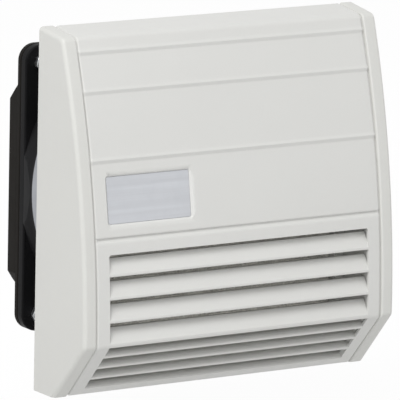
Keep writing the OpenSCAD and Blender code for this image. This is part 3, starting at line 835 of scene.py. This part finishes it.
cover_panel, badge_place = panel()
ends, barrel = [], []
walls = ((cover_outline(3.0), COVER_HALF - WALL, COVER_HALF), (side_rib(), RIB_AT, RIB_AT + 1.2))
for side in (-1, 1):
    for outline, x0, x1 in walls:
        x0, x1 = sorted((side * x0, side * x1))
        ends.append(beam("end_wall", [outline], x0, x1, 0.04, 1))
for reach, r in ((COVER_HALF, BARREL), (RAIL_IN + PIN_REACH, PIN)):
    barrel.append(beam("barrel", [ring_loop(r, 40, *HINGE)], -reach, reach, 0.3, 2))
lugs = [slab("lug", [soft_box(8, 4, 0.5, x, 70.2, 3)], -6, -3.4, 0.3, 2) for x in (-34, 34)]
dress(cover_panel, "cover", "cover_grey", "louvre_cover")
dress(polish(join("cover_ends", ends + lugs)), "cover", "cover_grey")
dress(polish(join("hinge_barrel", barrel)), "cover", "cover_grey")

slat = round_corners([(0, 0), (0, 1.0), (4.3, 6.9), (6.0, 6.9), (2.1, 0)], 0.3)
slat = beam("slat", [slat], -SLAT_HALF, SLAT_HALF, 0.05, 0)
knee = [knee_row(t / 8, LOW)(INSET) for t in range(6)]
knee += [(knee[-1][0] + 3.5, knee[-1][1] + 1.6), (knee[0][0] + 3.5, knee[0][1] + 1.6)]
knee_bar = beam("knee_bar", [list(reversed(knee))], -SLAT_HALF, SLAT_HALF, 0.05, 0)
slats = grow("front_slats", slat_tree(), "cover_grey", Slat=slat, Count=4,
             First_edge=SLAT_FIRST * MM, Pitch=SLAT_PITCH * MM,
             Radius=(BULGE - INSET) * MM, Knee=KNEE * MM, Middle=(BULGE - DEPTH) * MM)
dress(polish(join("front_slats", [slats, knee_bar])), "cover", "cover_grey")

ROW = row_tree()
a, b = (Vector(on_bevel(BAR_START + BAR_PITCH - v, BEVEL_INSET + 0.03)) for v in (BAR_WIDTH, 0))
bend = [(0.3, 0.7), (0.85, 1.4), (1.7, 1.95), (2.9, 2.3), (4.4, 2.5), (6.0, 2.6)]
under = [(6.0, 1.5), (4.4, 1.35), (3.1, 1.05), (2.2, 0.5), (1.5, -0.3)]
bar = [tuple(a)] + [(a.x + u, a.y + v) for u, v in bend + under] + [tuple(b)]
bar = beam("bar", [round_corners(bar, 0.3)], -RIB_AT - 0.1, RIB_AT + 0.1, 0.05, 0)
step = (0, BEV.x * BAR_PITCH * MM, BEV.y * BAR_PITCH * MM)
bars = grow("bevel_bars", ROW, "cover_grey", Piece=bar, Count=4, Step=step)
dress(polish(bars), "cover", "cover_grey")

badge = slab("badge_face", [soft_box(BADGE[0] - 0.8, BADGE[1] - 0.8, 0.85)], 0.95, 1.38, 0.2, 3)
badge.data.transform(badge_place)
dress(badge, "cover", "badge_silver", "badge_plate")


# The frame: two side rails, and the plate, grid, collar and filter rim between them

def rails():
    r, keep_in = RAIL_EDGE, 0.07
    net = []
    for row in rail_rows():
        def place(ins):
            return row(ins + keep_in)
        line = [(RAIL_IN, place(3.2)), (RAIL_IN, place(r + 0.1))]
        for t in np.linspace(0, math.pi / 2, 6):
            line.append((RAIL_IN + r - r * math.cos(t), place(r - r * math.sin(t))))
        pts = [(x, *p) for x, p in line]
        for t in np.linspace(0, math.pi / 2, 9):
            y, z = place(RAIL_ROUND * (1 - math.cos(t)))
            pts.append((HALF + y * DRAFT - RAIL_ROUND * (1 - math.sin(t)), y, z))
        y, z = place(RAIL_ROUND + 0.2)
        pts.append((HALF + y * DRAFT, y, z))
        net.append(pts)
    nr, nc = len(net), len(net[0])
    verts = [p for line in net for p in line]
    first = [i * nc + j for i in range(nr - 1) for j in range(nc - 1)]
    faces = [(k, k + 1, k + nc + 1, k + nc) for k in first]
    faces.append([i * nc for i in range(nr)])
    faces.append([i * nc + nc - 1 for i in reversed(range(nr))])
    faces.append(list(reversed(range(nc))) + [(nr - 1) * nc + j for j in range(nc)])
    o = solid("rail", verts, faces)
    bore = beam("bore", [ring_loop(BORE, 40, *HINGE)], RAIL_IN - 1, RAIL_IN + 4.2, 0.02, 0)
    groove = slab("groove", [soft_box(136, 136, 0.05, steps=1)], -1.6, 1.0, 0.01, 0)
    carve(o, bore, groove)
    other = o.copy()
    other.data = o.data.copy()
    other.data.transform(Matrix.Scale(-1, 4, (1, 0, 0)))
    other.data.flip_normals()
    return polish(join("side_rails", [o, other]), 34)


def frame_plate():
    """The plate, grid, collar and filter rim, cut off where the rails begin."""
    bm = bmesh.new()
    bm.from_mesh(cad["mounting_frame"].data)
    bmesh.ops.remove_doubles(bm, verts=bm.verts, dist=2e-6)
    for side in (1, -1):
        everything = bm.verts[:] + bm.edges[:] + bm.faces[:]
        cut = bmesh.ops.bisect_plane(bm, geom=everything, dist=1e-7, clear_outer=True,
                                     plane_co=(side * (RAIL_IN - 0.03) * MM, 0, 0), plane_no=(side, 0, 0))
        rim = [e for e in cut["geom_cut"] if isinstance(e, bmesh.types.BMEdge)]
        bmesh.ops.triangle_fill(bm, use_beauty=True, edges=rim, normal=(side, 0, 0))
    return polish(placed("frame_plate", bm))


dress(rails(), "housing", "frame_grey")
dress(frame_plate(), "housing", "frame_grey", "mounting_frame")
lip = slab("filter_lip", [soft_box(128.4, 128.4, 2.5), soft_box(121.0, 121.0, 1.5)], -13.2, -11.8, 0.3)
dress(lip, "housing", "frame_grey")


# The fan: casting, label, guard, fasteners and terminals

screw_holes = [ring_loop(2.2, 32, x * HOLES / 2, z * HOLES / 2) for x in (-1, 1) for z in (-1, 1)]


def fan_casting():
    outline = [soft_box(FAN, FAN, FAN_CORNER, steps=12), ring_loop(58, 128)]
    rear = FAN_REAR - FLANGE
    parts = [slab("flange", outline, y, y + FLANGE, 0.8, 5) for y in (FAN_FRONT, rear)]
    for flange in parts:
        carve(flange, slab("holes", screw_holes, FAN_FRONT - 2, FAN_REAR + 2, 0.01, 0))
    quarter, r = np.linspace(0, math.pi / 2, 6), 1.6
    mouth = [(DUCT + r * (1 - math.sin(t)), FAN_FRONT + r * (1 - math.cos(t))) for t in quarter]
    mouth += [(DUCT + r * (1 - math.cos(t)), FAN_REAR - r * (1 - math.sin(t))) for t in quarter]
    long = rear + 0.4 - NECK_FRONT
    neck = [(RING + 1.75 * (1 - math.cos(t)) / 2, NECK_FRONT + long * t / math.pi)
            for t in np.linspace(math.pi, 0, 11)]
    section = mouth + [(58.6, FAN_REAR - 0.2), (58.6, rear + 0.4)] + neck + [(RING, FAN_FRONT + 0.2)]
    duct = turned("fan_ring", section, 144)
    for k in range(4):
        side = slab("side", [soft_box(4, 80, 0.05, FAN / 2 + 1.98, 0, 1)], 20, 42, 0.01, 0)
        side.data.transform(Matrix.Rotation(math.pi / 2 * k, 4, "Y"))
        carve(duct, side)
    # The ring wears the lighter copy of the fan's black paint, a painted highlight; it is the same paint as
    # the flanges.
    dress(polish(duct), "housing", "fan_black", look="ring_black")
    seat = [(8.45, 37.4), (30.2, 37.4), (31, 38.2), (31, 39.6), (30.2, 40.4), (27.4, 40.4), (27, 40.0),
            (26, 40.0), (25.6, 40.4), (15.4, 40.4), (15, 40.0), (14, 40.0), (13.6, 40.4), (8.45, 40.4)]
    parts.append(turned("motor_seat", seat, 96))
    return polish(join("fan_casting", parts))


dress(fan_casting(), "housing", "fan_black", "fan_frame")
AROUND, CORNERS = around_tree(), corner_tree()


def around(name, look, piece, count, first=0.0):
    """A piece repeated evenly round the axis, from its first angle on."""
    return grow(name, AROUND, look, Piece=piece, Count=count, First_angle=first, Turn=2 * math.pi / count)


strut = slab("strut", [soft_box(29.5, 7, 0.8, 42.5, 0, 3)], 36.4, FAN_REAR, 1.1, 4)
dress(polish(around("fan_struts", "fan_black", strut, 4, math.radians(-20))), "housing", "fan_black")


def ring_label():
    """The bare label, bent round the ring, with rounded corners."""
    start, span, front, wide, corner, cells = 156, 48, 11, 18.8, 2.0, 40
    outer, inner = [], []
    for k in range(cells + 1):
        t = math.radians(start + span * k / cells)
        d = min(k, cells - k) * math.radians(span) / cells * RING
        cut = corner - math.sqrt(corner ** 2 - (corner - min(corner, d)) ** 2)
        line = [front + cut + (wide - 2 * cut) * j / 8 for j in range(9)]
        for net, r in ((outer, RING + 0.14), (inner, RING - 0.05)):
            net.append([(r * math.cos(t), y, r * math.sin(t)) for y in line])
    return shell("ring_label", outer, inner)


dress(ring_label(), "housing", "label_silver", "side_label")

start = math.degrees(math.acos(FAN / 2 / RIM))
arc = np.linspace(start, 90 - start, 9)
rim = [(RIM * math.cos(t), RIM * math.sin(t)) for q in range(4) for t in np.radians(arc + 90 * q)]
opening = ring_loop(GUARD_IN, 128)
sheet = [soft_box(FAN, FAN, FAN_CORNER, steps=12), opening] + screw_holes
parts = [slab("guard_sheet", sheet, FAN_REAR + 0.05, GUARD_REAR, 0.45),
         slab("guard_rim", [round_corners(rim, 1.5), opening], GUARD_REAR - 0.6, RIM_REAR, 0.6),
         slab("guard_boss", [ring_loop(11, 64)], RIM_REAR - GUARD_BAR, RIM_REAR, 0.5)]
dress(polish(join("rear_guard_body", parts)), "housing", "guard_black", "rear_guard")
rings = grow("guard_rings", grille_tree(), "guard_black", Count=4, Inner=18 * MM, Spacing=9 * MM,
             Width=2 * MM, Depth=GUARD_BAR * MM, Round=0.5 * MM, Middle=(RIM_REAR - GUARD_BAR / 2) * MM)
weld(rings.data)
dress(polish(rings), "housing", "guard_black")
spoke = slab("spoke", [soft_box(46, 3, 0.3, 32, 0, 2)], RIM_REAR - GUARD_BAR, RIM_REAR, 0.5, 2)
dress(polish(around("guard_spokes", "guard_black", spoke, 4, math.pi / 4)), "housing", "guard_black")


def long_screw():
    """Screw with a domed cross head and a thread, and the nut in front of the rear flange."""
    seat, back, axis = GUARD_REAR + WASHER, FAN_REAR - FLANGE, 0.02
    shank, root, pitch, y = 1.95, 1.62, 0.75, 32.0
    body = [(axis, seat + 0.5), (shank, seat + 0.5), (shank, y)]
    while y > -1.2:
        body += [(root, y - 0.3), (root, y - 0.4), (shank, y - 0.65), (shank, y - pitch)]
        y -= pitch
    body += [(1.5, -2.1), (axis, -2.2)]
    wide, low, dome = 3.8, 1.2, 1.4
    head = [(axis, seat), (wide, seat), (wide, seat + low)]
    head += [(wide * math.cos(t), seat + low + dome * math.sin(t)) for t in np.linspace(0.15, 1.5, 8)]
    top = turned("screw_head", head + [(axis, seat + low + dome)], 40)
    cross = [slab("cross", [soft_box(w, h, 0.2, steps=2)], seat + low, seat + 4, 0.02, 0)
             for w, h in ((4.2, 0.95), (0.95, 4.2))]
    carve(top, *cross)
    nut = slab("nut", [ring_loop(3.46, 6), ring_loop(1.8, 24)], back - 2.4, back, 0.3, 2)
    return join("long_screw", [top, nut, turned("shank", body, 28)])


screws = grow("long_screws", CORNERS, "zinc", Fastener=long_screw(), Pitch=HOLES * MM)
dress(polish(screws), "housing", "zinc", "fan_screws")
near, far = GUARD_REAR, GUARD_REAR + WASHER
disc = [(2.15, near + 0.1), (2.25, near), (4.25, near), (4.4, near + 0.15),
        (4.4, far - 0.15), (4.25, far), (2.25, far), (2.15, far - 0.1)]
washers = grow("screw_washers", CORNERS, "zinc", Fastener=turned("washer", disc, 48), Pitch=HOLES * MM)
dress(polish(washers), "housing", "zinc", "fan_washers")

blade = round_corners([(18.2, -1.4), (32.2, -1.4), (32.2, 1.4), (18.2, 1.4)], 0.7)
blade = beam("tab", [blade, ring_loop(0.6, 20, 20.6, 0)], RING - 2.95, RING - 2.45, 0.08, 1)
blade.data.transform(Matrix.Translation((0, 0, TAB_Z * MM)))
tabs = grow("terminal_blades", ROW, "tin", Piece=blade, Count=2, Step=(0, 0, TAB_PITCH * MM))
dress(polish(tabs), "housing", "tin", "terminal_tabs")
block = round_corners([(24.2, -40), (36.2, -40), (36.2, -26.5), (24.2, -26.5)], 0.8)
block = beam("terminal_body", [block], RING - 5.4, RING, 0.5, 3)
slots = [slab("slot", [soft_box(0.8, 3, 0.05, RING - 2.7, z, 1)], 22, 32.2, 0.01, 0)
         for z in (TAB_Z, TAB_Z + TAB_PITCH)]
dress(polish(carve(block, *slots)), "housing", "terminal_ivory", "terminal_block")


# The wheel with its lofted blades, and the motor's coils

def wheel_blade(rows=14, cols=14):
    ring = 2 * cols
    verts = []
    for i in range(rows):
        f = i / (rows - 1)
        r = HUB - 0.8 + (TIP - HUB + 0.8) * f
        lean, chord = math.radians(47 + 13 * f), 31 + 6 * f
        for j in range(ring):
            s = j / cols if j <= cols else 2 - j / cols
            t = 0.75 if j <= cols else -0.75
            h = 0.30 * chord * s * (1 - s) + t * (0.35 + 2.6 * s * (1 - s))
            u, v = (s - 0.5) * chord, h - 0.05 * chord
            turn = (u * math.sin(lean) + v * math.cos(lean)) / r + math.radians(6 * f)
            y = BLADE_MID + u * math.cos(lean) - v * math.sin(lean)
            verts.append((r * math.cos(turn), y, r * math.sin(turn)))
    faces = quads(rows, ring)
    for base in (0, (rows - 1) * ring):
        for j in range(cols):
            p, q, a, b = base + j, base + j + 1, base + (ring - j) % ring, base + ring - j - 1
            faces.append((p, b, q) if j == 0 else (p, a, q) if j == cols - 1 else (p, a, b, q))
    return solid("wheel_blade", verts, faces, 50)


blades = around("blade_set", "impeller_black", wheel_blade(), BLADES)
hub = [(20, 7.4), (20.2, 7.2), (32.6, 7.2), (33.4, 7.4), (34.0, 8.0), (HUB, 8.8), (HUB, 32.8),
       (34.0, 33), (32.4, 33), (32.25, 32.8), (32.25, 8.6), (20.2, 8.6), (20, 8.4)]
dress(polish(join("fan_wheel", [turned("hub", hub, 128), blades]), 50), "rotor", "impeller_black", "impeller")

coil = grow("coil_wire", coil_tree(), "copper", Turns=13.0, Half_height=9.4 * MM, Half_width=9.0 * MM,
            Length=5.0 * MM, Wire=0.2 * MM)
coil.data.transform(Matrix.Translation((14.3 * MM, STATOR_MID * MM, 0)))
core = [soft_box(w, h, r, STATOR_MID, 0) for w, h, r in ((18.5, 17.7, 1.2), (14.5, 13.4, 0.4))]
core = beam("coil_core", core, 14.1, 19.5, 0.2, 1)
coils = around("coil_set", "copper", join("coil", [coil, core]), 4)
dress(polish(coils), "housing", "copper", "windings")


# Soft pieces: the filter mat and the door gasket

def value_noise(seed, shape, cell):
    """Smooth random hills over a net of points."""
    rng = np.random.default_rng(seed)
    n = [s // cell + 3 for s in shape]
    grid = rng.uniform(-1, 1, n)
    u, v = np.arange(shape[0]) / cell, np.arange(shape[1]) / cell
    iu, iv = u.astype(int), v.astype(int)
    fu, fv = (u - iu)[:, None], (v - iv)[None]
    fu, fv = fu * fu * (3 - 2 * fu), fv * fv * (3 - 2 * fv)
    a, b = grid[np.ix_(iu, iv)], grid[np.ix_(iu + 1, iv)]
    c, d = grid[np.ix_(iu, iv + 1)], grid[np.ix_(iu + 1, iv + 1)]
    return (a * (1 - fu) + b * fu) * (1 - fv) + (c * (1 - fu) + d * fu) * fv


def fleece_mat():
    """A cut piece of fleece with soft edges and a gently uneven face."""
    n = 112
    hills = sum(high * value_noise(seed, (n, n), cell)
                for high, seed, cell in ((0.22, 7, 9), (0.13, 8, 3), (0.07, 9, 1)))
    line = [-MAT_HALF + 2 * MAT_HALF * k / (n - 1) for k in range(n)]
    front, back = [], []
    for i, z in enumerate(line):
        a, b = [], []
        for j, x in enumerate(line):
            d = min(MAT_HALF - abs(x), MAT_HALF - abs(z))
            soft = MAT_SOFT * (1 - math.sqrt(1 - (1 - min(1.0, d / MAT_SOFT)) ** 2))
            a.append((x, MAT_FRONT + soft + hills[i, j], z))
            b.append((x, MAT_BACK - 0.8 * soft, z))
        front.append(a)
        back.append(b)
    return shell("fleece_mat", front, back)


def mat_face(mat):
    """The mat's front face alone, for loose fibres to lie on."""
    bm = bmesh.new()
    bm.from_mesh(mat.data)
    rest = [f for f in bm.faces if f.calc_center_median().y > -11 * MM or f.normal.y > -0.8]
    bmesh.ops.delete(bm, geom=rest, context="FACES")
    return placed("mat_face", bm)


def strand():
    """One bent fibre with three sides."""
    bend = [(0, 0, 0), (1.2, -0.18, 0.25), (2.6, -0.3, 0.1), (4.0, -0.16, -0.3)]
    verts = []
    for x, y, z in bend:
        verts += [(x - 2, y + 0.06 * math.cos(a), z + 0.06 * math.sin(a)) for a in (0, 2.1, 4.2)]
    return solid("strand", verts, quads(len(bend), 3) + [(2, 1, 0), (9, 10, 11)], 80)


mat = fleece_mat()
fibres = grow("fleece_fibres", fibre_tree(), "fleece", Mat=mat_face(mat), Fibre=strand(),
              Density=160000.0, Seed=4)
dress(mat, "housing", "fleece", "filter_mat")
dress(fibres, "housing", "fleece")


def foam_strip():
    """A strip of foam laid round the collar, its free face softly rounded."""
    half, back, shoulder = 2.2, -1.55, -0.5
    section = [(-half, back), (-half, shoulder)]
    section += [(half * -math.cos(t), shoulder + 0.48 * math.sin(t))
                for t in np.linspace(0.15, math.pi - 0.15, 9)]
    section += [(half, shoulder), (half, back)]
    path = [(math.radians(90 * k), s) for k in range(4) for s in np.linspace(-1, 1, 26)[:-1]]
    verts = []
    for a, s in path:
        for p, y in section:
            u, v = STRIP_MID + p, s * (STRIP_MID + p)
            verts.append((u * math.cos(a) - v * math.sin(a), y, u * math.sin(a) + v * math.cos(a)))
    return solid("foam_strip", verts, quads(len(path), len(section), True), 60)


strip = dress(foam_strip(), "housing", "foam", "door_gasket")

# Inner pieces keep their solids and get their finish
for node, look in (
        ("bearing_tube", "tube_brass"), ("front_bearing", "bearing_steel"),
        ("rear_bearing", "bearing_steel"), ("preload_washer", "spring_steel"),
        ("stator_core", "lamination"), ("stator_insulators", "insulation"),
        ("bearing_cap", "cap_black"), ("earth_screw", "earth_brass"),
        ("rotor_cup", "rotor_steel"), ("rotor_cage", "cage_metal"),
        ("shaft", "shaft_steel"), ("retaining_ring", "clip_steel")):
    paint(cad[node], look)


# Stage: pale floor, soft lamps and the photograph's view

floor_mesh = bpy.data.meshes.new("floor")
low = (-HALF - FLOOR_DROP) * MM
floor_mesh.from_pydata([(x, y, low) for x, y in ((-6, -6), (6, -6), (6, 6), (-6, 6))], [], [(0, 1, 2, 3)])
floor = add("floor", floor_mesh)


def white_to_camera(g, shader, share, level=1.0):
    """Mixes plain white into a shader for what the camera and mirrors see."""
    path = g.nodes.new("ShaderNodeLightPath")
    seen = calc(g, "MAXIMUM", path.outputs["Is Camera Ray"], path.outputs["Is Glossy Ray"])
    seen = calc(g, "MAXIMUM", seen, path.outputs["Is Transmission Ray"])
    white = put(g, "ShaderNodeEmission", {"Color": (1, 1, 1, 1), "Strength": level})
    return put(g, "ShaderNodeMixShader", {0: calc(g, "MULTIPLY", seen, share), 1: shader, 2: white})


pale = bpy.data.materials.new("pale_floor")
pale.use_nodes = True
g = pale.node_tree
matt = put(g, "ShaderNodeBsdfDiffuse", {"Color": (0.78, 0.78, 0.78, 1)})
g.links.new(white_to_camera(g, matt, 0.9, 1.04), g.nodes["Material Output"].inputs["Surface"])
floor_mesh.materials.append(pale)

world = bpy.data.worlds.new("studio")
bpy.context.scene.world = world
world.use_nodes = True
g = world.node_tree
soft = put(g, "ShaderNodeBackground", {"Color": (1, 1, 1, 1), "Strength": 0.5})
g.links.new(white_to_camera(g, soft, 1.0), g.nodes["World Output"].inputs["Surface"])


def lamp(name, place, size, power):
    """A round lamp aimed at the part's middle."""
    light = bpy.data.lights.new(name, "AREA")
    light.shape = "DISK"
    light.size = size
    light.energy = power
    o = add(name, light)
    o.location = place
    o.rotation_euler = (-Vector(place)).to_track_quat("-Z", "Y").to_euler()


lamp("key", (-0.86, -0.75, 1.1), 1.0, 14.6)
lamp("edge", (1.25, 0.12, 0.45), 0.8, 2.6)

# The photograph's view: distance in metres, focal length, shift and width in pixels
DISTANCE, FOCAL, SHIFT, WIDE = 2.143755, 5268.96, (4.754, 6.297), 400
az, el, roll = (math.radians(v) for v in (31.594, 11.551, 1.263))
back = Vector((-math.sin(az) * math.cos(el), -math.cos(az) * math.cos(el), math.sin(el)))
across = Vector((math.cos(az), -math.sin(az), 0))
up = back.cross(across)
right = math.cos(roll) * across + math.sin(roll) * up
rise = -math.sin(roll) * across + math.cos(roll) * up
eye = back * DISTANCE + right * (SHIFT[0] / FOCAL * DISTANCE) - rise * (SHIFT[1] / FOCAL * DISTANCE)
camera = bpy.data.cameras.new("view")
camera.sensor_width = 36.0
camera.lens = FOCAL / WIDE * camera.sensor_width
spot = add("view", camera)
spot.matrix_world = Matrix((right, rise, back)).transposed().to_4x4()
spot.location = eye
bpy.context.scene.camera = spot
bpy.context.scene.view_settings.view_transform = "Standard"
